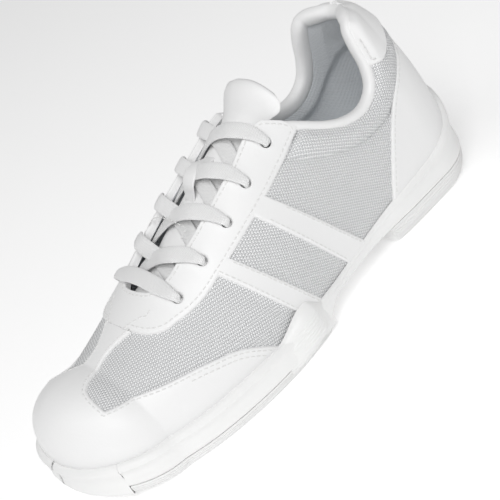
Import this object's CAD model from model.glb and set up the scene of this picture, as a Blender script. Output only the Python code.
"""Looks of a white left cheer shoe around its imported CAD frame.
Lengths are in millimetres until a mesh is made; +X is the toe, +Y the outer side, +Z up."""
import math

import bpy
import numpy as np
from mathutils import Matrix, Vector, kdtree


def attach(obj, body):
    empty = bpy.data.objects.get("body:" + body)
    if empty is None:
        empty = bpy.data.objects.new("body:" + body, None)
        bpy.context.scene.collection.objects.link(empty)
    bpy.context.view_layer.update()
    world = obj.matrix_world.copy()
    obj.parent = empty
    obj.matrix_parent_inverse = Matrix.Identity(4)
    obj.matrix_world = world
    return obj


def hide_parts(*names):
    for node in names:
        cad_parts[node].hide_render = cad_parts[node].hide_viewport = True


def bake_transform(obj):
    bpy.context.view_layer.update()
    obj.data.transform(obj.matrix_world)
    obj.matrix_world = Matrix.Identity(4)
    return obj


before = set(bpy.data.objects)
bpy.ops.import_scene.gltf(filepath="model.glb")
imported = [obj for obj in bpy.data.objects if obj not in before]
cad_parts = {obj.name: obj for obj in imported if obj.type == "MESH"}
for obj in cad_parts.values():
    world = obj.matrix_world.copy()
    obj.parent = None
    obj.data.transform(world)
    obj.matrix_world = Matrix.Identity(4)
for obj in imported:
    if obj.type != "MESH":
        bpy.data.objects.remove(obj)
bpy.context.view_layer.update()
MM = 0.001

# --- the foot form, as the CAD has it
HEEL_AXIS_X, TOE_AXIS_X = -99.0, 90.0
HEEL_DEPTH, TOE_DEPTH = 31.0, 36.5
HEEL_RUN, TOE_RUN = 50.0, 57.0        # lengths given to the rounded ends in the station number
FEATHER_Z, HEEL_TOP_Z = 14.0, 109.0
TOE_TIP_RISE, TOE_SWING = 8.0, 7.0
THROAT_Y = -1.0
BODY = [
    (-99, 32.0, 31.0, 0.0, 119.0, 2.35, 2.35), (-75, 33.0, 30.0, 0.0, 115.0, 2.5, 2.5),
    (-50, 33.5, 29.0, -0.5, 107.5, 2.5, 2.5), (-25, 36.5, 29.5, -1.0, 98.5, 2.3, 2.4),
    (0, 41.5, 34.0, -1.5, 88.0, 2.1, 2.3), (25, 44.0, 40.0, -2.0, 75.5, 2.0, 2.25),
    (50, 43.0, 44.0, -2.5, 62.5, 2.0, 2.2), (72, 39.5, 43.5, -3.5, 52.5, 2.1, 2.2),
    (90, 34.5, 41.0, -5.0, 46.0, 2.2, 2.2)]
FOOTBED = [(-140, 20.5), (-60, 19.0), (-20, 14.5), (10, 11.5), (70, 11.0), (100, 13.5), (140, 20.0)]
SOLE_UNDER = [(-140, 6.0), (-131, 2.2), (-124, 0.4), (-117, 0.0), (-112, 0.0), (74, 0.0), (80, 0.0),
              (92, 0.7), (104, 2.4), (122, 6.5), (140, 12.5)]
LIP_TOP = [(-140, 50.0), (-131, 45.0), (-122, 34.0), (-108, 28.0), (-68, 22.5), (-45, 19.0),
           (-20, 16.5), (0, 17.0), (40, 18.0), (90, 18.5), (112, 21.5), (140, 23.5)]
WALL = [(-140, 2.5), (-110, 3.5), (-80, 3.2), (-45, 1.8), (-15, 2.6), (20, 4.5), (60, 5.5), (100, 5.0),
        (140, 3.5)]
# side outlines, (x, z)
TOPLINE = [(-20, 100), (-30, 96.5), (-35, 93.4), (-41, 89.2), (-48.6, 83.8), (-59, 76.1), (-69, 71.3),
           (-80, 70.4), (-87.5, 74.5), (-91.5, 83), (-93, 94), (-96, 102.5), (-103, 106), (-112, 103),
           (-119, 99), (-140, 92)]
CREASE = [(-140, 86), (-120, 78), (-109, 70), (-98, 62), (-90, 57.4), (-81, 56), (-67, 57), (-56, 60.6),
          (-43, 67.4), (-31, 76.2)]
COUNTER_EDGE = [(-140, 90), (-126, 84), (-115, 76.8), (-109, 72), (-98, 63.7), (-89.5, 55), (-78, 39),
                (-68, 22), (-64, 14), (-62, 4)]
TAB_EDGE = [(-140, 98), (-122, 92), (-114, 86), (-107, 80), (-101, 78.6), (-92, 82)]
STAY_EDGE = [(-75, 96), (-60, 89), (-48.6, 84), (-31, 76.2), (-11, 69.1), (8, 63.2), (27, 57), (41.6, 52.5),
             (53.6, 50.9), (62, 50.4), (67.6, 52), (71, 56), (74, 64)]
CAP_EDGE = [(14, 2), (24, 14), (32.7, 21.9), (41.6, 28), (59, 33.3), (79.5, 36.2), (92, 38.2), (106, 40.8)]
SEAM = [(-3, 6), (24, 59), (33, 130)]
REAR_STRIPE = [(-47.0, 12), (-9.3, 74), (3, 74.5), (-31.0, 12)]
FRONT_STRIPE = [(-7.6, 12), (23.0, 66), (33, 66), (5.0, 12)]
# plan outlines, (x, y)
THROAT = [(53, 0), (51, 7), (45, 11.5), (30, 14.5), (10, 16.5), (-10, 17), (-25, 16), (-35, 18.2),
          (-41, 22.4), (-47, 27), (-60, 36)]
STRIP_EDGE = [(64, 12), (70, 7), (75.5, 3.6), (83, 0.9), (90, 1.4), (95.4, 3.6), (100.4, 7.4), (102, 12),
              (102.5, 20), (104, 40)]
STRIP_CENTRE = [(60, -3.0), (72, -3.6), (90, -5.2), (106, -8.5)]
EYELETS = [(-28.7, 22.4), (-9.2, 23.8), (9.2, 24.8), (28.2, 23.4), (46.6, 21.1)]
EYELET_R = 2.3
FAR = 160.0
FLEX_BODIES = ("shoe", "forefoot")


def hermite(knots):
    """A smooth curve through (x, values...) knots, as a function of an array of x."""
    table = np.array(knots, float)
    xs, vals = table[:, 0], table[:, 1:]
    step = np.diff(xs)[:, None]
    rate = np.diff(vals, axis=0) / step
    between = (rate[:-1] * step[1:] + rate[1:] * step[:-1]) / (step[1:] + step[:-1])
    slope = np.vstack([rate[:1], between, rate[-1:]])

    def value(x):
        x = np.clip(np.asarray(x, float), xs[0], xs[-1])
        i = np.clip(np.searchsorted(xs, x, side="right") - 1, 0, len(xs) - 2)
        h = xs[i + 1] - xs[i]
        t = ((x - xs[i]) / h)[..., None]
        h = h[..., None]
        out = ((2 * t**3 - 3 * t**2 + 1) * vals[i] + (t**3 - 2 * t**2 + t) * h * slope[i]
               + (3 * t**2 - 2 * t**3) * vals[i + 1] + (t**3 - t**2) * h * slope[i + 1])
        return out[..., 0] if vals.shape[1] == 1 else out
    return value


body_rows = hermite(BODY)
footbed_z, under_z, lip_z, wall_out = hermite(FOOTBED), hermite(SOLE_UNDER), hermite(LIP_TOP), hermite(WALL)
strip_y = hermite(STRIP_CENTRE)


def dome(f, power):
    return np.maximum(0.0, 1.0 - np.abs(f) ** power) ** (1.0 / power)


def smooth(t):
    t = np.clip(t, 0, 1)
    return t * t * (3 - 2 * t)


def rounded(t):
    """A quarter circle from 0 at t = 0 to 1 at t = 1."""
    return np.sqrt(np.clip(1 - (1 - np.clip(t, 0, 1)) ** 2, 0, 1))


def lengths_along(points):
    return np.concatenate([[0], np.cumsum(np.linalg.norm(np.diff(points, axis=0), axis=1))])


def columns_at(places, lengths, values):
    """Rows of values, given at some lengths, read at other places."""
    return np.column_stack([np.interp(places, lengths, column) for column in values.T])


def unit(vectors):
    return vectors / np.maximum(np.linalg.norm(vectors, axis=-1, keepdims=True), 1e-9)


def common(*fields):
    """Field of the area that lies inside all the given ones."""
    return np.minimum.reduce(fields)


def section(u, g=0.0):
    """x, half widths, ridge and roundness of the form's section at station u, grown by g."""
    u, g = np.broadcast_arrays(np.asarray(u, float), np.asarray(g, float))
    heel = np.minimum(np.sin(np.clip((HEEL_AXIS_X - u) / HEEL_RUN, 0, 1) * np.pi / 2), 0.99995)
    toe = np.minimum(np.sin(np.clip((u - TOE_AXIS_X) / TOE_RUN, 0, 1) * np.pi / 2), 0.99995)
    mid = np.clip(u, HEEL_AXIS_X, TOE_AXIS_X)
    x = mid - heel * (HEEL_DEPTH + g) + toe * (TOE_DEPTH + g)
    wide, inner, ridge_y, ridge_z, n_out, n_in = np.moveaxis(body_rows(mid), -1, 0)
    side = dome(heel, 2.15) * dome(toe, 2.3)
    swing = TOE_SWING * toe**2
    ridge = ridge_z + g + (HEEL_TOP_Z - ridge_z) * np.minimum(1, 4 * heel)
    top = FEATHER_Z + TOE_TIP_RISE * toe + (ridge - FEATHER_Z) * dome(heel, 2.1) * dome(toe, 2.3)
    wide, inner, ridge_y = (wide + g) * side - swing, (inner + g) * side + swing, ridge_y * side - swing
    return x, wide, inner, ridge_y, top, n_out, n_in


def surface(u, a, g=0.0):
    """Point of the grown face: angle 0 at the outer feather line, 90 at the ridge, 180 inner."""
    u, a, g = np.broadcast_arrays(*(np.asarray(v, float) for v in (u, a, g)))
    x, wide, inner, ridge_y, top, n_out, n_in = section(u, g)
    outer = a <= 90
    n = np.where(outer, n_out, n_in)
    r = np.radians(a)
    reach, lift = np.abs(np.cos(r)) ** (2 / n), np.abs(np.sin(r)) ** (2 / n)
    y = np.where(outer, ridge_y + (wide - ridge_y) * reach, ridge_y - (inner + ridge_y) * reach)
    return np.stack([x, y, FEATHER_Z + (top - FEATHER_Z) * lift], -1)


def station(x):
    x = np.asarray(x, float)
    heel = np.clip((HEEL_AXIS_X - x) / HEEL_DEPTH, 0, 1)
    toe = np.clip((x - TOE_AXIS_X) / TOE_DEPTH, 0, 1)
    return (np.clip(x, HEEL_AXIS_X, TOE_AXIS_X) - np.arcsin(heel) / (np.pi / 2) * HEEL_RUN
            + np.arcsin(toe) / (np.pi / 2) * TOE_RUN)


def angle_at_height(x, z, outer=True):
    _, _, _, _, top, n_out, n_in = section(station(x))
    lift = np.clip((z - FEATHER_Z) / (top - FEATHER_Z), 0, 1)
    a = np.degrees(np.arcsin(lift ** ((n_out if outer else n_in) / 2)))
    return a if outer else 180 - a


def angle_at_side(x, y):
    _, wide, inner, ridge_y, _, n_out, n_in = section(station(x))
    out = np.degrees(np.arccos(np.clip((y - ridge_y) / (wide - ridge_y), 0, 1) ** (n_out / 2)))
    into = 180 - np.degrees(np.arccos(np.clip((ridge_y - y) / (inner + ridge_y), 0, 1) ** (n_in / 2)))
    return np.where(y >= ridge_y, out, into)


def across(x, y):
    """The place on the inner side that is as high as the face at (x, y) on the outer side."""
    a = angle_at_side(np.asarray(x, float), np.asarray(y, float))
    point = surface(station(x), a)
    return surface(station(x), angle_at_height(x, point[..., 2], False))[..., 1]


def off_face(x, y, distance):
    """Point at a distance along the normal from the mesh face above (x, y)."""
    u, a = station(x), angle_at_side(np.asarray(x, float), np.asarray(y, float))
    return surface(u, a) + normal(u, a) * np.asarray(distance, float)[..., None]


def normal(u, a, g=0.0):
    du = surface(u + 0.3, a, g) - surface(u - 0.3, a, g)
    da = surface(u, a + 0.3, g) - surface(u, a - 0.3, g)
    return unit(np.cross(da, du))


def spline(points, step=0.5):
    """Points close together on a smooth curve through the given ones."""
    p = np.array(points, float)
    gaps = np.linalg.norm(np.diff(p, axis=0), axis=1)
    p = p[np.concatenate([[True], gaps > 1e-4])]
    s = lengths_along(p)
    curve = hermite(np.column_stack([s, p]))
    return curve(np.linspace(0, s[-1], max(8, int(s[-1] / step))))


# --- master grid of the upper
FIRST_U, LAST_U = HEEL_AXIS_X - HEEL_RUN, TOE_AXIS_X + TOE_RUN
GRID_U = np.concatenate([np.linspace(FIRST_U, HEEL_AXIS_X, 52)[:-1],
                         np.linspace(HEEL_AXIS_X, TOE_AXIS_X, 172)[:-1],
                         np.linspace(TOE_AXIS_X, LAST_U, 56)])
GRID_A = np.linspace(0, 180, 221)
uu, aa = (m.ravel() for m in np.meshgrid(GRID_U, GRID_A, indexing="ij"))
face_points = surface(uu, aa)
face_x, face_z = face_points[:, 0], face_points[:, 2]
cols = len(GRID_A)
grid_points = face_points.reshape(len(GRID_U), cols, 3)
girth = np.concatenate([np.zeros((len(GRID_U), 1)),
                        np.cumsum(np.linalg.norm(np.diff(grid_points, axis=1), axis=2), axis=1)], axis=1)
girth = (girth - girth[:, [cols // 2]]).ravel()
around_heel = HEEL_AXIS_X - HEEL_DEPTH * np.arctan2(HEEL_AXIS_X - face_x,
                                                  np.maximum(np.abs(face_points[:, 1]), 0.01))
along = np.where(face_x < HEEL_AXIS_X, around_heel, uu)
corner = (np.arange(len(GRID_U) - 1)[:, None] * cols + np.arange(cols - 1)[None]).ravel()
quads = np.column_stack([corner, corner + cols, corner + cols + 1, corner + 1])
odd = ((quads[:, 0] // cols + quads[:, 0] % cols) % 2).astype(bool)
grid_tris = np.vstack([quads[~odd][:, [0, 1, 2]], quads[~odd][:, [0, 2, 3]],
                       quads[odd][:, [0, 1, 3]], quads[odd][:, [1, 2, 3]]])


def within(polygon, px, py):
    """True for the points inside a closed polygon."""
    result = np.zeros(len(px), bool)
    for (x0, y0), (x1, y1) in zip(polygon, np.roll(polygon, -1, axis=0)):
        crossing = (y0 > py) != (y1 > py)
        if crossing.any():
            result ^= crossing & (px < (x1 - x0) * (py - y0) / (y1 - y0 + 1e-12) + x0)
    return result


def away_from(lines, points):
    """Distance from each point to the nearest sample of some 3-D lines."""
    samples = np.vstack([spline(line, 0.35) for line in lines])
    tree = kdtree.KDTree(len(samples))
    for i, p in enumerate(samples):
        tree.insert(p, i)
    tree.balance()
    return np.array([tree.find(p)[2] for p in points])


def region(outline, closing, chart, sides=(True, False), curved=True):
    """Signed distance on the grid to an outline drawn in the side or the plan view, positive inside."""
    curve = spline(outline, 1.2)
    if not curved:
        curve = np.vstack([np.linspace(a, b, 24) for a, b in zip(outline[:-1], outline[1:])])
    lines = []
    if chart == "side":
        top = section(station(curve[:, 0]))[4]
        on = (curve[:, 1] <= top) & (curve[:, 1] >= FEATHER_Z - 1)
        part = curve[on]
        for outer in sides:
            lines.append(surface(station(part[:, 0]), angle_at_height(part[:, 0], part[:, 1], outer)))
        sign = within(np.vstack([curve, closing]), face_x, face_z)
    else:
        lines.append(surface(station(curve[:, 0]), angle_at_side(curve[:, 0], curve[:, 1])))
        sign = within(np.vstack([curve, closing]), face_x, face_points[:, 1])
    return np.where(sign, 1, -1) * away_from(lines, face_points)


open_top = region(TOPLINE, [(-140, FAR), (-20, FAR)], "side")
collar_below = region(CREASE, [(-31, FAR), (-140, FAR)], "side")
stay_front = region(STAY_EDGE, [(74, FAR), (-75, FAR)], "side")
throat_inner = [(x, float(across(x, y))) for x, y in reversed(THROAT[1:])]
throat = region(throat_inner + THROAT, np.zeros((0, 2)), "plan")
throat = np.minimum(throat, face_z - (34 + (70 - face_x) * 48 / 132))
counter = region(COUNTER_EDGE, [(-62, -9), (-150, -9)], "side")
tab = region(TAB_EDGE, [(-92, FAR), (-140, FAR)], "side")
seam_front = region(SEAM, [(200, 130), (200, 6)], "side", curved=False)
stripes = {}
for stripe_name, outline in (("rear", REAR_STRIPE), ("front", FRONT_STRIPE)):
    stripes[stripe_name] = region(outline + outline[:1], outline[:1], "side", curved=False)
cap_line = region(CAP_EDGE, [(200, 40.8), (200, FAR), (-60, FAR), (-60, 2)], "side")
strip_out = region(STRIP_EDGE, [(104, 90), (-60, 90), (-60, 12)], "plan")
inner_strip = [(x, 2 * float(strip_y(x)) - y) for x, y in STRIP_EDGE]
strip_in = region(inner_strip, [(104, -90), (-60, -90), (-60, inner_strip[0][1])], "plan")
window = np.maximum(np.minimum(cap_line, strip_out), np.minimum(cap_line, strip_in))
eyelet_uv = []
for ex, ey in EYELETS:
    for yy in (ey, float(across(ex, ey))):
        eyelet_uv.append((float(station(ex)), float(angle_at_side(ex, yy))))
eyelet_points = np.array([surface(*p) for p in eyelet_uv])
holes = np.min(np.linalg.norm(face_points[:, None] - eyelet_points[None], axis=2), axis=1) - EYELET_R
opening = np.maximum(open_top, throat)
half = np.where(aa < 90, 1, -1) * np.linalg.norm(face_points - surface(uu, 90), axis=1)
SIDES = (("lateral", half), ("medial", -half))


# --- cutting triangle sheets along lines
def split(data, tris, value, keep_low):
    """Cuts triangles along value = 0; the low side is kept or dropped."""
    value = np.where(np.abs(value) < 0.05, 0.0, value)
    sign = np.sign(value)[tris]
    has_high, has_low = (sign > 0).any(1), (sign < 0).any(1)
    mixed = has_high & has_low
    whole = tris[~mixed & (has_high | keep_low)]
    cut, cs = tris[mixed], sign[mixed]
    if not len(cut):
        return data, whole
    zero = (cs == 0).any(1)
    new_data = [data]
    total = len(data)
    edges_of = {}

    def crossing(a, b):
        nonlocal total
        key = np.sort(np.column_stack([a, b]), axis=1)
        unique, index = np.unique(key, axis=0, return_inverse=True)
        fresh = [k for k in map(tuple, unique) if k not in edges_of]
        if fresh:
            f = np.array(fresh)
            t = (value[f[:, 0]] / (value[f[:, 0]] - value[f[:, 1]]))[:, None]
            new_data.append(data[f[:, 0]] * (1 - t) + data[f[:, 1]] * t)
            for i, k in enumerate(fresh):
                edges_of[k] = total + i
            total += len(f)
        return np.array([edges_of[tuple(k)] for k in unique])[index.ravel()]

    out = [whole]
    if (~zero).any():
        tri, s = cut[~zero], cs[~zero]
        lonely = np.argmax(s == -np.sign(s.sum(1))[:, None], axis=1)
        order = (lonely[:, None] + np.arange(3)) % 3
        a, b, c = np.take_along_axis(tri, order, 1).T
        high = np.take_along_axis(s, order, 1)[:, 0] > 0
        p, q = crossing(a, b), crossing(a, c)
        alone = np.column_stack([a, p, q])
        rest = np.vstack([np.column_stack([p, b, c]), np.column_stack([p, c, q])])
        out.append(alone if keep_low else alone[high])
        out.append(rest if keep_low else rest[np.concatenate([~high, ~high])])
    if zero.any():
        tri, s = cut[zero], cs[zero]
        order = (np.argmax(s == 0, axis=1)[:, None] + np.arange(3)) % 3
        a, b, c = np.take_along_axis(tri, order, 1).T
        high = np.take_along_axis(s, order, 1)[:, 1] > 0
        r = crossing(b, c)
        first, second = np.column_stack([a, b, r]), np.column_stack([a, r, c])
        out.append(first if keep_low else first[high])
        out.append(second if keep_low else second[~high])
    return np.vstack(new_data), np.vstack(out)


def lines_at(data, tris, value):
    """The ordered lines along which value = 0, as lists of rows of data."""
    value = np.where(value == 0, 1e-6, value)
    sign = value[tris] > 0
    tri = tris[sign.any(1) & ~sign.all(1)]
    links = {}
    for t in tri:
        ends = []
        for i, j in ((0, 1), (1, 2), (2, 0)):
            a, b = int(t[i]), int(t[j])
            if (value[a] > 0) != (value[b] > 0):
                ends.append((min(a, b), max(a, b)))
        links.setdefault(ends[0], []).append(ends[1])
        links.setdefault(ends[1], []).append(ends[0])
    used, lines = set(), []
    for start in sorted(links, key=lambda k: len(links[k])):
        if start in used:
            continue
        line, here = [start], start
        used.add(start)
        while onward := [k for k in links[here] if k not in used]:
            here = onward[0]
            used.add(here)
            line.append(here)
        if len(line) > 6:
            closed = line[0] in links[line[-1]]
            keys = np.array(line + line[:1] if closed else line)
            va, vb = value[keys[:, 0]], value[keys[:, 1]]
            t = (va / (va - vb))[:, None]
            lines.append(data[keys[:, 0]] * (1 - t) + data[keys[:, 1]] * t)
    return lines


# --- meshes
def placed(name, data):
    obj = bpy.data.objects.new(name, data)
    bpy.context.scene.collection.objects.link(obj)
    return obj


def make(name, points, faces, look, uv=None, sharp=40.0):
    """An object from points in millimetres, with the material of the look's name."""
    mesh = bpy.data.meshes.new(name)
    mesh.from_pydata((np.asarray(points) * MM).tolist(), [], [list(map(int, f)) for f in faces])
    if uv is not None:
        layer = mesh.uv_layers.new(name="UVMap")
        index = np.zeros(len(mesh.loops), np.int32)
        mesh.loops.foreach_get("vertex_index", index)
        layer.data.foreach_set("uv", np.asarray(uv, np.float32)[index].ravel())
    mesh.materials.append(looks[look])
    mesh.validate()
    mesh.polygons.foreach_set("use_smooth", [True] * len(mesh.polygons))
    mesh.set_sharp_from_angle(angle=math.radians(sharp))
    return placed(name + "_look", mesh)


def settle(obj, body, nodes):
    """Material slot, CAD nodes and the body (or the two bodies it bends between)."""
    if nodes:
        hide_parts(*nodes)
    if body == FLEX_BODIES:
        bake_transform(obj)
    elif isinstance(body, tuple):
        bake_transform(obj)
    else:
        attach(obj, body)
    return obj


FIELD, EXTRA = 3, 4         # columns of the table that slab gives to a growth function


def slab(name, field, outer, inner, slot, body, nodes, edges=(0.22, 0.55, 1.1), extra=(), upright=False):
    """A sheet of the upper with a rolled edge. outer and inner give the growth from the columns
    u, a, girth, field, *extra; the field is positive inside the piece. The weave of an upright
    piece runs level, that of the others round the foot."""
    weave = (along, face_z) if upright else (uu, girth)
    data = np.column_stack([uu, aa, girth, field, *extra, *weave])
    tris = grid_tris[(field[grid_tris] > 0).any(1)]
    data, tris = split(data, tris, data[:, FIELD], False)
    for level in edges:
        data, tris = split(data, tris, data[:, FIELD] - level, True)
    used, tris = np.unique(tris, return_inverse=True)
    tris = tris.reshape(-1, 3)
    data = data[used]
    top, low = (surface(data[:, 0], data[:, 1], growth(data) if callable(growth) else growth)
                for growth in (outer, inner))
    n = len(data)
    half_edges = np.vstack([tris[:, [0, 1]], tris[:, [1, 2]], tris[:, [2, 0]]])
    _, index, count = np.unique(np.sort(half_edges, axis=1), axis=0, return_inverse=True,
                                return_counts=True)
    border = half_edges[count[index.ravel()] == 1]
    walls = np.column_stack([border[:, 1], border[:, 0], border[:, 0] + n, border[:, 1] + n])
    faces = [*tris.tolist(), *(tris[:, ::-1] + n).tolist(), *walls.tolist()]
    uv = np.vstack([data[:, -2:], data[:, -2:]])
    obj = make(name, np.vstack([top, low]), faces, slot, uv)
    return settle(obj, body, nodes)


def rolled(low, high, radius):
    """Growth that rises from low to high within a radius of the piece's edge."""
    return lambda d: low + (high - low) * rounded(d[:, FIELD] / radius)


def tube_mesh(rings):
    """Points and faces of a loft through rings of equal point counts."""
    rings = np.asarray(rings)
    rows, count = rings.shape[:2]
    faces = []
    for i in range(rows - 1):
        for j in range(count):
            k = (j + 1) % count
            faces.append((i * count + j, i * count + k, (i + 1) * count + k, (i + 1) * count + j))
    faces.append(tuple(range(count - 1, -1, -1)))
    faces.append(tuple((rows - 1) * count + j for j in range(count)))
    return rings.reshape(-1, 3), faces


def loft(name, rings, slot, body, nodes, uv=None, sharp=40.0):
    """A piece that is lofted through rings."""
    points, faces = tube_mesh(rings)
    return settle(make(name, points, faces, slot, uv, sharp), body, nodes)


def oval(count, across_power, through_power):
    """Points (across, through), from -1 to 1, round a section between an ellipse and a rectangle."""
    ring = []
    for t in np.linspace(0, 2 * np.pi, count + 1)[:-1]:
        c, s = math.cos(t), math.sin(t)
        ring.append((math.copysign(abs(c) ** across_power, c), math.copysign(abs(s) ** through_power, s)))
    return ring


STITCH = {"pitch": 2.9, "length": 2.1, "reach": 1.1, "radius": 0.29}


def stitch_line(points, normals, store):
    """Adds capsule stitches along a line to the store of points and faces."""
    s = lengths_along(points)
    count = int(s[-1] / STITCH["pitch"])
    reach = STITCH["reach"]
    ring = [(math.cos(t), math.sin(t)) for t in np.linspace(0, 2 * math.pi, 9)[:-1]]
    ends = [(-0.5, 0.05), (-0.46, 0.6), (-0.34, 0.95), (0.34, 0.95), (0.46, 0.6), (0.5, 0.05)]
    for i in range(count):
        middle = (i + 0.5) * STITCH["pitch"]
        behind, here, ahead = columns_at([middle - reach, middle, middle + reach], s, points)
        forward = unit(ahead - behind)
        side = unit(np.cross(columns_at([middle], s, normals)[0], forward))
        up = np.cross(forward, side)
        rings = []
        for e, r in ends:
            sink = 0.16 * (2 * e) ** 2
            centre = here + forward * e * STITCH["length"] + up * (0.1 - sink)
            radius = r * STITCH["radius"]
            rings.append([centre + (side * c * 1.1 + up * sn * 0.8) * radius for c, sn in ring])
        pts, faces = tube_mesh(rings)
        base = sum(len(p) for p in store["points"])
        store["points"].append(pts)
        store["faces"] += [tuple(base + k for k in f) for f in faces]


def stitches(name, field, inset, grow, body, keep=None):
    """A sewn line at a distance inside the edge of a piece."""
    data = np.column_stack([uu, aa, field])
    tris = grid_tris[(np.abs(field[grid_tris] - inset) < 4).any(1)]
    store = {"points": [], "faces": []}
    for line in lines_at(data, tris, data[:, 2] - inset):
        pts = surface(line[:, 0], line[:, 1], grow)
        ok = np.ones(len(pts), bool) if keep is None else keep(pts)
        for run in np.split(np.arange(len(pts)), np.where(np.diff(ok.astype(int)))[0] + 1):
            if ok[run[0]] and len(run) > 8:
                stitch_line(pts[run], normal(line[run, 0], line[run, 1], grow), store)
    if not store["points"]:
        return None
    obj = make(name, np.vstack(store["points"]), store["faces"], "thread", sharp=70)
    return settle(obj, body, [])


# --- materials
looks = {}                                      # the materials, by the name of their slot


class Nodes:
    """Short names for building a node tree."""

    def __init__(self, name, color, roughness, **sockets):
        material = bpy.data.materials.new(name)
        material.use_nodes = True
        looks[name] = material
        self.tree = material.node_tree
        self.shader = self.tree.nodes["Principled BSDF"]
        self.shader.inputs["Base Color"].default_value = (*color, 1)
        self.shader.inputs["Roughness"].default_value = roughness
        for key, value in sockets.items():
            self.shader.inputs[key.replace("_", " ")].default_value = value
        self.color = color

    def node(self, kind, inputs=(), **settings):
        n = self.tree.nodes.new("ShaderNode" + kind)
        for key, value in settings.items():
            setattr(n, key, value)
        for key, value in dict(inputs).items():
            if isinstance(value, bpy.types.NodeSocket):
                self.tree.links.new(value, n.inputs[key])
            else:
                n.inputs[key].default_value = value
        return n

    def math(self, operation, a, b=0.0):
        return self.node("Math", {0: a, 1: b}, operation=operation).outputs[0]

    def vector(self, operation, a, b):
        return self.node("VectorMath", {0: a, 1: b}, operation=operation).outputs[0]

    def ramp(self, value, low, high, to_low=0.0, to_high=1.0):
        return self.node("MapRange", {"Value": value, "From Min": low, "From Max": high,
                                                "To Min": to_low, "To Max": to_high},
                         interpolation_type="SMOOTHSTEP").outputs["Result"]

    def uv(self, scale=(1, 1, 1), shift=(0, 0, 0), lean=0.0):
        coordinates = self.node("TexCoord").outputs["UV"]
        if lean:
            turn = {"Vector": coordinates, "Rotation": (0, 0, lean)}
            coordinates = self.node("Mapping", turn).outputs[0]
        settings = {"Vector": coordinates, "Scale": scale, "Location": shift}
        return self.node("Mapping", settings).outputs[0]

    def noise(self, scale, detail=3.0, rough=0.55):
        place = self.node("TexCoord").outputs["Object"]
        return self.node("TexNoise", {"Vector": place, "Scale": scale, "Detail": detail,
                                                "Roughness": rough}).outputs["Fac"]

    def tint(self, factor, dark):
        """Mixes the base colour towards a darker one by a factor."""
        mix = self.node("Mix", {"Factor": factor}, data_type="RGBA")
        # the colour sockets of a Mix node share their names with its number sockets
        sockets = [i for i in mix.inputs if i.type == "RGBA"]
        for socket, color in zip(sockets, (self.color, dark)):
            socket.default_value = (*color, 1)
        result = next(o for o in mix.outputs if o.type == "RGBA")
        self.tree.links.new(result, self.shader.inputs["Base Color"])

    def bump(self, height, distance):
        n = self.node("Bump", {"Height": height, "Distance": distance, "Strength": 1.0})
        self.tree.links.new(n.outputs["Normal"], self.shader.inputs["Normal"])

    def rough(self, value, low, high):
        self.tree.links.new(self.ramp(value, 0.3, 0.7, low, high), self.shader.inputs["Roughness"])


def lattice(m, pitch_u, pitch_v):
    """Distance, in pitches, from the nearest hole of a staggered mesh."""
    best = None
    for shift in ((0, 0, 0), (0.5, 0.5, 0)):
        place = m.uv((1 / pitch_u, 1 / pitch_v, 1), shift, 0.35)
        cell = m.node("VectorMath", {0: place}, operation="FRACTION").outputs[0]
        parts = m.node("SeparateXYZ", {0: m.vector("SUBTRACT", cell, (0.5, 0.5, 0))})
        x2 = m.math("MULTIPLY", parts.outputs[0], parts.outputs[0])
        y2 = m.math("MULTIPLY", parts.outputs[1], parts.outputs[1])
        far = m.math("SQRT", m.math("ADD", m.math("MULTIPLY", x2, 1.7), y2))
        best = far if best is None else m.math("MINIMUM", best, far)
    return best


def mesh_fabric(name, color, dark, pitch, hole, roughness, depth):
    m = Nodes(name, color, roughness, Sheen_Weight=0.25, Sheen_Roughness=0.5, Specular_IOR_Level=0.3)
    far = lattice(m, pitch, pitch * 1.25)
    yarn = m.ramp(far, hole * 0.55, hole * 1.35)
    m.tint(m.math("SUBTRACT", 1.0, yarn), dark)
    fuzz = m.math("MULTIPLY", m.noise(900.0), 0.25)
    m.bump(m.math("ADD", yarn, fuzz), depth)


def leather(name, color, roughness, grain=0.00005):
    m = Nodes(name, color, roughness, Specular_IOR_Level=0.45, Sheen_Weight=0.05)
    place = m.node("TexCoord").outputs["Object"]
    cells = m.node("TexVoronoi", {"Vector": place, "Scale": 1100.0}, feature="SMOOTH_F1")
    fine = m.noise(420.0, 4.0)
    m.bump(m.math("ADD", m.math("MULTIPLY", cells.outputs["Distance"], 0.6), fine), grain)
    m.rough(m.noise(60.0), roughness - 0.05, roughness + 0.07)
    m.tint(m.ramp(m.noise(25.0), 0.35, 0.75, 0.0, 0.35), tuple(c * 0.965 for c in color))


def rubber(name, color, roughness):
    m = Nodes(name, color, roughness, Specular_IOR_Level=0.4)
    m.bump(m.noise(1500.0, 2.0), 0.00003)
    m.rough(m.noise(90.0), roughness - 0.05, roughness + 0.08)
    m.tint(m.ramp(m.noise(30.0), 0.35, 0.75, 0.0, 0.4), tuple(c * 0.96 for c in color))


def woven(name, color):
    """A flat tubular weave: two sets of slanting yarns that cross."""
    m = Nodes(name, color, 0.7, Sheen_Weight=0.35, Sheen_Roughness=0.4, Specular_IOR_Level=0.3)
    parts = m.node("SeparateXYZ", {0: m.uv()})
    along, over = parts.outputs[0], parts.outputs[1]
    waves = []
    for lean in (1, -1):
        phase = m.math("ADD", m.math("MULTIPLY", along, 7.0), m.math("MULTIPLY", over, 6.0 * lean))
        waves.append(m.math("SINE", phase))
    height = m.math("MAXIMUM", waves[0], waves[1])
    m.tint(m.ramp(height, -0.4, 0.7, 0.5, 0.0), tuple(c * 0.88 for c in color))
    m.bump(m.math("ADD", height, m.math("MULTIPLY", m.noise(1400.0), 0.5)), 0.00012)


def fibre(name, color, roughness, scale, depth):
    m = Nodes(name, color, roughness, Sheen_Weight=0.2)
    m.bump(m.noise(scale, 5.0, 0.7), depth)
    m.tint(m.ramp(m.noise(scale * 0.3), 0.3, 0.8, 0.0, 0.5), tuple(c * 0.88 for c in color))


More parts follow.
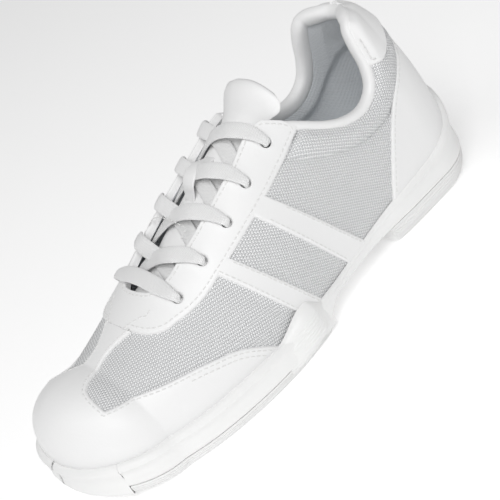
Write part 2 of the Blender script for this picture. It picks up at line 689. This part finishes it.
mesh_fabric("upper_mesh", (0.94, 0.945, 0.95), (0.76, 0.77, 0.78), 1.65, 0.3, 0.75, 0.0007)
mesh_fabric("lining_mesh", (0.93, 0.955, 0.975), (0.85, 0.885, 0.92), 1.1, 0.3, 0.85, 0.0003)
leather("upper_leather", (0.87, 0.87, 0.87), 0.42)
leather("tongue_leather", (0.88, 0.88, 0.88), 0.5, 0.00004)
rubber("midsole_foam", (0.88, 0.88, 0.875), 0.45)
rubber("outsole_rubber", (0.85, 0.85, 0.845), 0.5)
woven("lace_weave", (0.93, 0.93, 0.93))
fibre("insole_fabric", (0.82, 0.86, 0.89), 0.9, 700.0, 0.0002)
fibre("board_fibre", (0.80, 0.79, 0.76), 0.9, 500.0, 0.0002)
fibre("stiffener", (0.82, 0.82, 0.80), 0.6, 300.0, 0.0001)
fibre("thread", (0.80, 0.80, 0.79), 0.6, 2500.0, 0.00005)
rubber("aglet_film", (0.90, 0.90, 0.90), 0.25)
rubber("shank_plastic", (0.85, 0.85, 0.85), 0.3)

# --- the upper
OVERLAY_TOP, OVERLAY_BACK = 1.4, -0.5           # growth of a sewn overlay's two faces
MESH_BACK, QUARTER_BACK = -0.85, -2.2           # growth of the backs of the mesh
RIM_DEPTH = 2.4
CAP_START_X, LINING_SPLIT_X = 18.0, 20.0
below_rim = -open_top - RIM_DEPTH
tuck = 2.0                                      # a layer goes this far under the one over it
stay_far = -stay_front


def lining_depth(d):
    """Growth of the lining's face: deeper behind the padded collar, shallower at the opening."""
    pad = smooth((d[:, EXTRA] + 3.0) / 9.0)
    below = d[:, EXTRA + 1]
    return -2.9 - 2.5 * pad - 1.0 * pad * smooth(below / 9.0) * smooth((24 - below) / 12.0)


eyestay_field = common(stay_front, -opening, holes)
slab("eyestay", eyestay_field, rolled(-0.3, OVERLAY_TOP, 0.95), -2.6, "upper_leather",
     FLEX_BODIES, ["eyestay", "eyelet_backer"])
cap_field = common(-window, stay_far, face_x - CAP_START_X)
slab("toe_cap", cap_field, rolled(0.15, OVERLAY_TOP, 0.9), OVERLAY_BACK, "upper_leather", FLEX_BODIES,
     ["toe_cap"])
for stripe_name, field in stripes.items():
    for side_name, side_field in SIDES:
        strip = common(field, stay_far + tuck, side_field)
        slab(f"stripe_{stripe_name}_{side_name}", strip, rolled(0.1, OVERLAY_TOP - 0.05, 0.9), OVERLAY_BACK,
             "upper_leather", "shoe", [f"stripe_{stripe_name}_{side_name}"])
slab("heel_counter", counter, rolled(0.15, OVERLAY_TOP, 0.95), -0.6, "upper_leather", "shoe",
     ["heel_counter"])
crease_dip = 1.5 * np.exp(-np.abs(collar_below) / 1.8)
vamp_field = common(seam_front, -opening - 0.6, holes - 0.4)
slab("vamp_mesh", vamp_field, 0.0, MESH_BACK, "upper_mesh", FLEX_BODIES, ["vamp_mesh"],
     edges=())
in_front_of_heel = face_x - HEEL_AXIS_X
for side_name, side_field in SIDES:
    field = common(-seam_front, -opening - 0.6, holes - 0.4, side_field, in_front_of_heel,
                               -np.minimum(collar_below, stay_far) + 0.3)
    slab(f"quarter_mesh_{side_name}", field, lambda d: -d[:, EXTRA], QUARTER_BACK, "upper_mesh", "shoe",
         [f"quarter_mesh_{side_name}"], edges=(), extra=(crease_dip,), upright=True)
    liner = common(LINING_SPLIT_X - face_x, -opening - 1.0, holes - 0.4, side_field,
                               -np.minimum(collar_below, stay_far) + 0.3)
    lined = [f"quarter_lining_{side_name}"] + (["heel_stiffener"] if side_name == "lateral" else [])
    slab(f"quarter_lining_{side_name}", liner, lambda d: lining_depth(d) + 0.6, lining_depth, "lining_mesh",
         "shoe", lined, edges=(), extra=(collar_below, -open_top), upright=True)
heel_field = np.minimum(-in_front_of_heel, -collar_below + 0.3)
slab("heel_mesh", heel_field, lambda d: -d[:, EXTRA], QUARTER_BACK, "upper_mesh", "shoe", ["heel_mesh"],
     edges=(), extra=(crease_dip,), upright=True)
slab("vamp_lining", common(face_x - LINING_SPLIT_X, -opening - 1.0, holes - 0.4),
     -2.3, -2.9, "lining_mesh", FLEX_BODIES, ["vamp_lining"], edges=())

collar_field = common(collar_below, below_rim + 0.8, stay_far + tuck, tuck - tab)


def collar_puff(d):
    """The padded collar swells between its crease, the rim and the eyestay."""
    rise = rounded(d[:, EXTRA] / 8.0)
    edge = smooth((d[:, EXTRA + 2] + 1.5) / 7.0)
    rim = 0.45 + 0.55 * smooth(d[:, EXTRA + 1] / 6.0)
    return -1.5 + 4.3 * rise * edge * rim


def tab_puff(d):
    """The heel tab lies over the padding, with a rolled edge."""
    return collar_puff(d) + 0.1 + 1.2 * rounded(d[:, FIELD] / 1.1)


pad_shape = (collar_below, below_rim, stay_far)
collar = slab("collar_mesh", collar_field, collar_puff, -3.0, "upper_mesh", "shoe",
              ["collar_mesh", "collar_foam"], edges=(0.4, 1.0, 2.0), extra=pad_shape, upright=True)
tab_field = np.minimum(tab, below_rim + 0.6)
heel_tab = slab("heel_tab", tab_field, tab_puff, -3.0, "upper_leather", "shoe", ["heel_tab"],
                extra=pad_shape)
slab("collar_lining", common(collar_below, below_rim + 0.8, stay_far + tuck + 2),
     lambda d: lining_depth(d) + 0.8, lining_depth, "lining_mesh", "shoe", ["collar_lining"], edges=(),
     extra=(collar_below, -open_top), upright=True)

# smooth rim rolled over the opening's edge, from one eyestay round the heel to the other
rim_curve = spline(TOPLINE[1:], 1.0)
rim_curve = rim_curve[(rim_curve[:, 0] < -36.0)]
rim_top = section(station(rim_curve[:, 0]))[4]
rim_curve = rim_curve[rim_curve[:, 1] < rim_top - 0.02]
rim_u = station(rim_curve[:, 0])
rim_outer, rim_inner = (angle_at_height(*rim_curve.T, outer) for outer in (True, False))
rim_u = np.concatenate([rim_u, rim_u[::-1]])
rim_angle = np.concatenate([rim_outer, rim_inner[::-1]])
rim_line = surface(rim_u, rim_angle)
gap = np.linalg.norm(np.diff(rim_line, axis=0), axis=1)
keep = np.concatenate([[True], gap > 0.15])
rim_line, rim_n = rim_line[keep], normal(rim_u, rim_angle)[keep]
rim_s = lengths_along(rim_line)
even = np.linspace(0, rim_s[-1], int(rim_s[-1] / 1.2))
rim_line = columns_at(even, rim_s, rim_line)
rim_n = columns_at(even, rim_s, rim_n)
for _ in range(6):
    rim_n[1:-1] = (rim_n[:-2] + 2 * rim_n[1:-1] + rim_n[2:]) / 4
    rim_line[1:-1] = (rim_line[:-2] + 6 * rim_line[1:-1] + rim_line[2:]) / 8
rim_n = unit(rim_n)
rim_down = unit(np.cross(rim_n, unit(np.gradient(rim_line, axis=0))))
rim_down *= -np.sign(rim_down[:, 2].mean())
# (growth, distance below the edge)
RIM_SECTION = [(0.3, 4.2), (0.95, 3.4), (1.25, 2.3), (1.15, 1.2), (0.6, 0.35), (-0.4, -0.1), (-1.8, -0.35),
               (-3.2, -0.3), (-4.5, 0.15), (-5.4, 1.1), (-5.9, 2.5), (-6.0, 4.4), (-5.8, 6.2), (-5.2, 7.0),
               (-4.2, 6.6), (-2.4, 5.2), (-0.8, 4.4)]
rim_rings = [[p + n * g + d * low for g, low in RIM_SECTION] for p, n, d in zip(rim_line, rim_n, rim_down)]
loft("collar_rim", rim_rings, "upper_leather", "shoe", ["collar_rim"], sharp=60)


# --- sewn lines
def above_sole(points):
    return points[:, 2] > lip_z(points[:, 0]) + 0.5


sewn_stay = np.minimum(stay_front, -opening)
stitches("stitch_eyestay", sewn_stay, 2.3, OVERLAY_TOP, FLEX_BODIES, above_sole)
sewn_cap = np.minimum(-window, face_x - CAP_START_X)
stitches("stitch_toe_cap", sewn_cap, 1.7, OVERLAY_TOP, FLEX_BODIES,
         lambda p: above_sole(p) & (p[:, 2] < 55))
stitches("stitch_toe_cap_inner", sewn_cap, 3.9, OVERLAY_TOP, FLEX_BODIES,
         lambda p: above_sole(p) & (p[:, 0] < 70))
for stripe_name, field in stripes.items():
    for side_name, side_field in SIDES:
        stitches(f"stitch_stripe_{stripe_name}_{side_name}", np.minimum(field, side_field + 3), 1.5,
                 OVERLAY_TOP, "shoe", lambda p: above_sole(p) & (p[:, 2] < 0.1 * -p[:, 0] + 62))
stitches("stitch_counter", counter, 1.8, OVERLAY_TOP, "shoe", above_sole)
stitches("stitch_tab", tab_field, 1.8, 3.6, "shoe", lambda p: p[:, 2] < 96)


# --- sole
def mirrored_section(u, half_rows):
    """Closed section at station u from rows for one side: (part of the half width, growth, height)."""
    ring = []
    for angle, rows in ((0, half_rows), (180, half_rows[::-1])):
        for share, grow, z in rows:
            p = surface(u, angle, grow)
            ring.append((float(p[0]), float(p[1]) * share, float(z)))
    return ring


def sole_piece(name, stations, rows, slot, body, nodes, sharp=40):
    rings = [mirrored_section(u, rows(float(section(u)[0]))) for u in stations]
    count = len(rings[0])
    length = np.repeat(np.array(stations), count)
    around = np.tile(np.arange(count), len(rings))
    return loft(name, rings, slot, body, nodes, np.column_stack([length, around]), sharp)


def stations_between(x0, x1, step=1.5):
    u0, u1 = float(station(x0)), float(station(x1))
    return np.linspace(u0, u1, max(4, int((u1 - u0) / step)))


def midsole_low(x):
    """Underside of the foam: over the heel rubber and the arch, then down to the forefoot rubber."""
    step = 5.06 + under_z(x)
    return 11.66 + (step - 11.66) * smooth((x + 16.0) / 16.0)


def wall_rows(x, low, high):
    """Side of the foam wall: rounded foot, hollow or bead, rolled lip, and the bed inside it."""
    out = float(wall_out(x))
    tall = min(1.0, (high - low) / 11.0)
    w = min(1.0, out / 3.0)
    rows = [(0.0, out - 3, low), (0.5, out - 4, low), (1.0, out - 4.0, low),
            (1.0, out - 1.6 * w, low + 0.05), (1.0, out - 0.7 * w, low + 0.35 * tall),
            (1.0, out - 0.15, low + 1.1 * tall),
            (1.0, out, low + 2.2 * tall)]
    hollow = 0.8 * w * float(np.maximum(smooth((x - 25) / 20), smooth((-70 - x) / 15)))
    for share in (0.3, 0.4, 0.5, 0.6, 0.7):
        dip = 0.25 - (hollow + 0.25) * math.sin(math.pi * (share - 0.2) / 0.6)
        rows.append((1.0, out + dip, low + (high - low) * share))
    rows += [(1.0, out + 0.35, high - 2.8 * tall), (1.0, out + 0.1 * w, high - 1.6 * tall),
             (1.0, out - 0.9 * w, high - 0.6 * tall), (1.0, out - 1.7 * w, high - 0.15),
             (1.0, out - 2.4 * w, high), (1.0, min(0.9, out - 2.6 * w), high - 0.5), (1.0, 0.2, high - 1.6),
             (1.0, -0.5, high - 4.0)]
    floor = min(float(footbed_z(x)) - 0.3, high - 4.2)
    rows += [(1.0, -1.0, floor), (0.7, -1.0, floor), (0.0, -1.0, floor)]
    return rows


def midsole_rows(x):
    return wall_rows(x, float(midsole_low(x)), float(lip_z(x)))


def bumper_rows(x):
    return wall_rows(x, float(under_z(x)), float(lip_z(x)))


def rubber_rows(x, top, inset, count, tuck_in, lift):
    """Ribbed side of a rubber piece that draws in towards the tread and lifts off at an end."""
    low = float(under_z(x)) + lift
    out = float(wall_out(x)) - inset

    def side(z):
        return out - tuck_in * max(0.0, 1 - (z - low) / max(top - low, 0.5)) ** 2

    rows = [(0.0, out - 4 - tuck_in, low), (0.5, out - 4 - tuck_in, low), (1.0, out - 5 - tuck_in, low),
            (1.0, out - 1.4 - tuck_in, low + 0.1), (1.0, side(low + 0.5) - 0.5, low + 0.5),
            (1.0, side(low + 1.0), low + 1.0)]
    for i in range(1, count):
        z = low + 1.0 + (top - low - 1.3) * i / count
        rows.append((1.0, side(z) + 0.25 * (-1) ** i, z))
    rows += [(1.0, out - 0.1, top - 0.1), (1.0, out - 3, top), (0.5, out - 4, top), (0.0, out - 4, top)]
    return rows


def heel_rows(x):
    front = 7.5 * (1 - math.sqrt(1 - min(1.0, max(0.0, (x + 66.0) / 7.6)) ** 2))
    return rubber_rows(x, 11.6, 0.7, 13, 4.5, front)


def forefoot_rows(x):
    back = 2.8 * (1 - math.sqrt(1 - min(1.0, max(0.0, (2.0 - x) / 4.2)) ** 2))
    return rubber_rows(x, float(under_z(x)) + 5.05, 0.5, 7, 1.2, back)


sole_piece("midsole", stations_between(-130, 113), midsole_rows, "midsole_foam", FLEX_BODIES,
           ["midsole_rear", "midsole_toe"])
sole_piece("toe_bumper", stations_between(113.06, 126.5, 1.0), bumper_rows, "midsole_foam", "forefoot",
           ["toe_bumper"])
sole_piece("outsole_forefoot", stations_between(-2, 112.9), forefoot_rows, "outsole_rubber",
           FLEX_BODIES, ["outsole_ball", "outsole_toe"])
sole_piece("outsole_heel", stations_between(-130, -58.5, 1.0), heel_rows, "outsole_rubber", "shoe",
           ["outsole_heel"], sharp=60)

# outrigger on the outer side: the wall swells up and out, steeply behind and slowly in front
OUTRIGGER_X, OUTRIGGER_LOW, OUTRIGGER_RISE, OUTRIGGER_OUT = (-4.5, 30.0), 2.6, 7.0, 3.2
rings = []
for x in np.linspace(*OUTRIGGER_X, 70):
    place = (x - OUTRIGGER_X[0]) / (OUTRIGGER_X[1] - OUTRIGGER_X[0])
    swell = float(smooth(place / 0.3) * (1 - smooth((place - 0.36) / 0.64)))
    top = float(lip_z(x)) - 0.4 + OUTRIGGER_RISE * swell
    wall = float(wall_out(x))
    outside, inside = [], []
    for t in np.linspace(0, 1, 60):
        z = OUTRIGGER_LOW + (top - OUTRIGGER_LOW) * t
        side = wall - 0.5 + (OUTRIGGER_OUT + 0.5) * swell * float(smooth(t / 0.3))
        rib = 0.2 * math.cos(2 * math.pi * (z + 0.15 * x) / 1.7) * swell * float(smooth((0.9 - t) / 0.1))
        edge = min(1.5, wall - 0.6)
        p = surface(x, 0.0, edge + (side - edge) * (1 - t**7) ** 0.5 + rib)
        q = surface(x, 0.0, min(edge, wall - 1.0) - 0.5)
        outside.append((p[0], p[1], z))
        inside.append((q[0], q[1], z))
    rings.append(outside + inside[::-1])
loft("lateral_outrigger", rings, "midsole_foam", "shoe", ["lateral_outrigger"], sharp=60)


# --- insole and board
BED_GROWTH = -3.6           # the sheets on the footbed stay this far inside the form


def bed_sheet(name, low, high, slot, nodes, crown):
    """A sheet between two levels over the footbed, whose edges turn up by the crown."""
    rings = []
    for u in np.linspace(-143, 141, 150):
        x = float(section(u, BED_GROWTH)[0])
        z0 = float(footbed_z(x))
        ring = []
        for level, order in ((high, 1), (low, -1)):
            z = z0 + level
            outer, inner = (surface(u, float(angle_at_height(x, z, side)), BED_GROWTH)
                            for side in (True, False))
            for t in np.linspace(0, 1, 25)[::order]:
                p = outer * (1 - t) + inner * t
                rise = crown * (2 * abs(t - 0.5)) ** 4 if level == high else 0.0
                ring.append((x, p[1], z + rise))
        rings.append(ring)
    plan = np.array(rings).reshape(-1, 3)[:, :2]
    return loft(name, rings, slot, FLEX_BODIES, nodes, plan, sharp=50)


bed_sheet("insole_board", 0.15, 1.5, "board_fibre", ["insole_board"], 0.0)
bed_sheet("insole", 1.6, 5.3, "insole_fabric", ["insole"], 1.5)


# --- tongue and keeper
def pad_loft(name, stations, slot, body, nodes, round_ends):
    """A soft flat pad over the instep; stations give x, half width, top growth, thickness, the rise
    of the edges over the middle, and the y of the middle."""
    table = hermite(sorted(stations))
    x0, x1 = min(s[0] for s in stations), max(s[0] for s in stations)
    xs = list(np.linspace(x0, x1, int((x1 - x0) / 0.9)))
    rings, uvs = [], []
    for x in xs:
        half_width, top, thick, edge_rise, middle = table(x)
        shrink = 1.0
        for end, active in ((x0, round_ends[0]), (x1, round_ends[1])):
            reach = 6.0
            if active and abs(x - end) < reach:
                shrink *= math.sqrt(max(1e-4, 1 - (1 - abs(x - end) / reach) ** 2.4))
        ring = []
        for over, through in oval(56, 0.55, 0.7):
            y = half_width * (0.84 + 0.16 * shrink) * over
            lift = 0.5 * thick * shrink * through
            crown = edge_rise * (y / half_width) ** 2
            ring.append(off_face(x, middle + y, top - 0.5 * thick + crown + lift))
            uvs.append((x, y))
        rings.append(ring)
    return loft(name, rings, slot, body, nodes, np.array(uvs), sharp=75)


TONGUE_SEAM_X = -27.0
seam = (TONGUE_SEAM_X, 19.5, -4.8, 3.8, -1.6, -1)
tongue_stations = [(57, 15, -2.9, 2.6, -1.6, -1), (52, 16, -3.9, 2.8, -1.6, -1),
                   (45, 17, -5.4, 3, -1.6, -1), (30, 18, -5.7, 3.2, -1.6, -1),
                   (12, 19, -5.7, 3.2, -1.6, -1), (-6, 19, -5.7, 3.2, -1.6, -1),
                   (-18, 19, -5.4, 3.4, -1.6, -1), seam]
tongue = pad_loft("tongue", tongue_stations, "tongue_leather", FLEX_BODIES, ["tongue"], (False, True))
tip_stations = [seam, (-33, 20.5, -3.0, 4.6, -1.6, -1.3), (-38, 22, -0.6, 5.2, -0.6, -2),
                (-43, 24, 1.6, 5.6, 2.2, -2.8), (-47, 24.5, 2.6, 5.2, 4.2, -3.2)]
tip_bend = ("shoe", "tongue_flap", (-0.027, 0, 0.0925), (-0.041, 0, 0.0925))
tongue_tip = pad_loft("tongue_tip", tip_stations, "tongue_leather", tip_bend, ["tongue_tip"], (True, False))

KEEPER_HALF, KEEPER_HALF_T = 4.6, 0.6
keeper_half_line = [(10.5, -6.4), (8, -4.6), (5, -1.6)]
keeper_line = spline([(-x, g) for x, g in keeper_half_line] + [(0, 0.0)] + keeper_half_line[::-1], 0.7)
rings = []
for x, g in keeper_line:
    rings.append([off_face(x, THROAT_Y + KEEPER_HALF * over, g + KEEPER_HALF_T * through)
                  for over, through in oval(24, 0.35, 0.6)])
loft("lace_keeper", rings, "upper_leather", "shoe", ["lace_keeper"], sharp=60)

# --- lace
LACE_OVER, LACE_UNDER, LACE_CROSS = 2.5, -4.3, (-4.4, -1.7)
LACE_HALF, LACE_HALF_T = 4.0, 0.9
FLAP_EDGE_Y = 14.0


def eye(row, side):
    x, y = EYELETS[row]
    return x, (y if side > 0 else float(across(x, y)))


def lace_strand(side, upper):
    """Route points (position, width share) from the lowest eyelet on one side to the tucked tail."""
    route = []
    for row in range(len(EYELETS) - 1, 0, -1):
        (x0, y0), (x1, y1) = eye(row, side), eye(row - 1, -side)
        lift = LACE_CROSS[1] if upper else LACE_CROSS[0]
        low_edge = THROAT_Y + side * FLAP_EDGE_Y
        high_edge = THROAT_Y - side * (FLAP_EDGE_Y - 1)
        route += [((x0, y0, LACE_OVER), 0.5), ((x0, y0, LACE_UNDER + 1.2), 0.5),
                  ((x0 * 0.9 + x1 * 0.1, (y0 + low_edge) / 2, LACE_UNDER), 0.85),
                  ((x0 * 0.76 + x1 * 0.24, low_edge, LACE_UNDER), 1.0),
                  (((x0 + x1) / 2, THROAT_Y, lift), 1.0),
                  ((x0 * 0.26 + x1 * 0.74, high_edge, LACE_OVER + 0.1), 1.0),
                  ((x0 * 0.1 + x1 * 0.9, (y1 + high_edge) / 2, LACE_OVER + 0.3), 0.9)]
        side = -side
        upper = not upper
    x, y = eye(0, side)
    route += [((x, y, LACE_OVER), 0.5), ((x, y, LACE_UNDER), 0.5)]
    points = [(off_face(p[0], p[1], p[2]), w) for p, w in route]
    for tail_x, angle, grow in ((-21, 40, -5.6), (-14, 30, -6.2), (-9, 22, -6.4)):
        points.append((surface(tail_x, angle if side > 0 else 180 - angle, grow), 0.6))
    return points


low_x = EYELETS[-1][0]
bar = [(off_face(low_x + 0.6, THROAT_Y + y, LACE_OVER + 0.3), 1.0) for y in (12.5, 0, -12.5)]
route = lace_strand(1, False)[::-1] + bar + lace_strand(-1, True)
knots = np.array([[*p, w] for p, w in route])
lengths = lengths_along(knots[:, :3])
lace_curve = hermite(np.column_stack([lengths, knots]))
fine = lace_curve(np.linspace(0, lengths[-1], int(lengths[-1] / 0.6)))
centre, share = fine[:, :3], fine[:, 3]
tangent = unit(np.gradient(centre, axis=0))
face_n = normal(station(centre[:, 0]), angle_at_side(centre[:, 0], centre[:, 1]))
index = np.arange(len(centre))
flow = centre[np.minimum(index + 10, index[-1])] - centre[np.maximum(index - 10, 0)]
width_dir = np.cross(face_n, flow)
for _ in range(12):
    width_dir[1:-1] = (width_dir[:-2] + 2 * width_dir[1:-1] + width_dir[2:]) / 4
width_dir -= (width_dir * tangent).sum(1, keepdims=True) * tangent
width_dir = unit(width_dir)
thick_dir = np.cross(tangent, width_dir)
rings, uvs = [], []
travelled = lengths_along(centre)
for i in range(len(centre)):
    ring = []
    w = np.clip(share[i], 0.45, 1.0)
    for sideways, through in oval(24, 0.8, 0.75):
        over = LACE_HALF * w * sideways
        lift = LACE_HALF_T * (1.35 - 0.35 * w) * through
        ring.append(centre[i] + width_dir[i] * over + thick_dir[i] * lift)
        uvs.append((travelled[i], over))
    rings.append(ring)
loft("lace", rings, "lace_weave", FLEX_BODIES, ["lace"], np.array(uvs), sharp=80)

# --- CAD nodes that stay
for node, look in (("aglets", "aglet_film"), ("toe_puff", "stiffener"), ("shank_plate", "shank_plastic")):
    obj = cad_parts[node]
    obj.data.materials.clear()
    obj.data.materials.append(looks[look])

# --- floor, light, camera
floor_mesh = bpy.data.meshes.new("floor")
floor_mesh.from_pydata([(-6, -6, 0), (6, -6, 0), (6, 6, 0), (-6, 6, 0)], [], [(0, 1, 2, 3)])
Nodes("floor", (0.96, 0.96, 0.96), 0.9, Emission_Color=(1, 1, 1, 1), Emission_Strength=0.25)
floor_mesh.materials.append(looks["floor"])
placed("floor", floor_mesh)

world = bpy.data.worlds.new("studio")
world.use_nodes = True
world.node_tree.nodes["Background"].inputs["Color"].default_value = (1, 1, 1, 1)
world.node_tree.nodes["Background"].inputs["Strength"].default_value = 0.34
bpy.context.scene.world = world
bpy.context.scene.view_settings.view_transform = "Standard"

CAMERA_RIGHT = Vector((-0.67503541, 0.58714328, -0.44675494))
CAMERA_DOWN = Vector((0.64175939, 0.16856112, -0.74815241))
CAMERA_FORWARD = Vector((-0.36396714, -0.79173854, -0.49058944))
CAMERA_PLACE = Vector((0.2200, 0.4900, 0.3403))
camera_data = bpy.data.cameras.new("camera")
camera_data.lens, camera_data.sensor_width = 93.6, 36.0
camera = placed("camera", camera_data)
camera.matrix_world = Matrix.Translation(CAMERA_PLACE) @ Matrix(
    (CAMERA_RIGHT, -CAMERA_DOWN, -CAMERA_FORWARD)).transposed().to_4x4()
bpy.context.scene.camera = camera


def soft_light(name, place, size, power):
    """A square soft box that faces the middle of the shoe."""
    data = bpy.data.lights.new(name, "AREA")
    data.shape, data.size, data.energy = "SQUARE", size, power
    light = placed(name, data)
    light.location = place
    light.rotation_mode = "QUATERNION"
    light.rotation_quaternion = (Vector((0, 0, 0.05)) - Vector(place)).to_track_quat("-Z", "Y")


soft_light("key", (1.0, 0.1, 1.4), 1.0, 4.0)
soft_light("fill", (0.45, 0.8, 1.05), 0.8, 9.5)

bpy.context.view_layer.update()
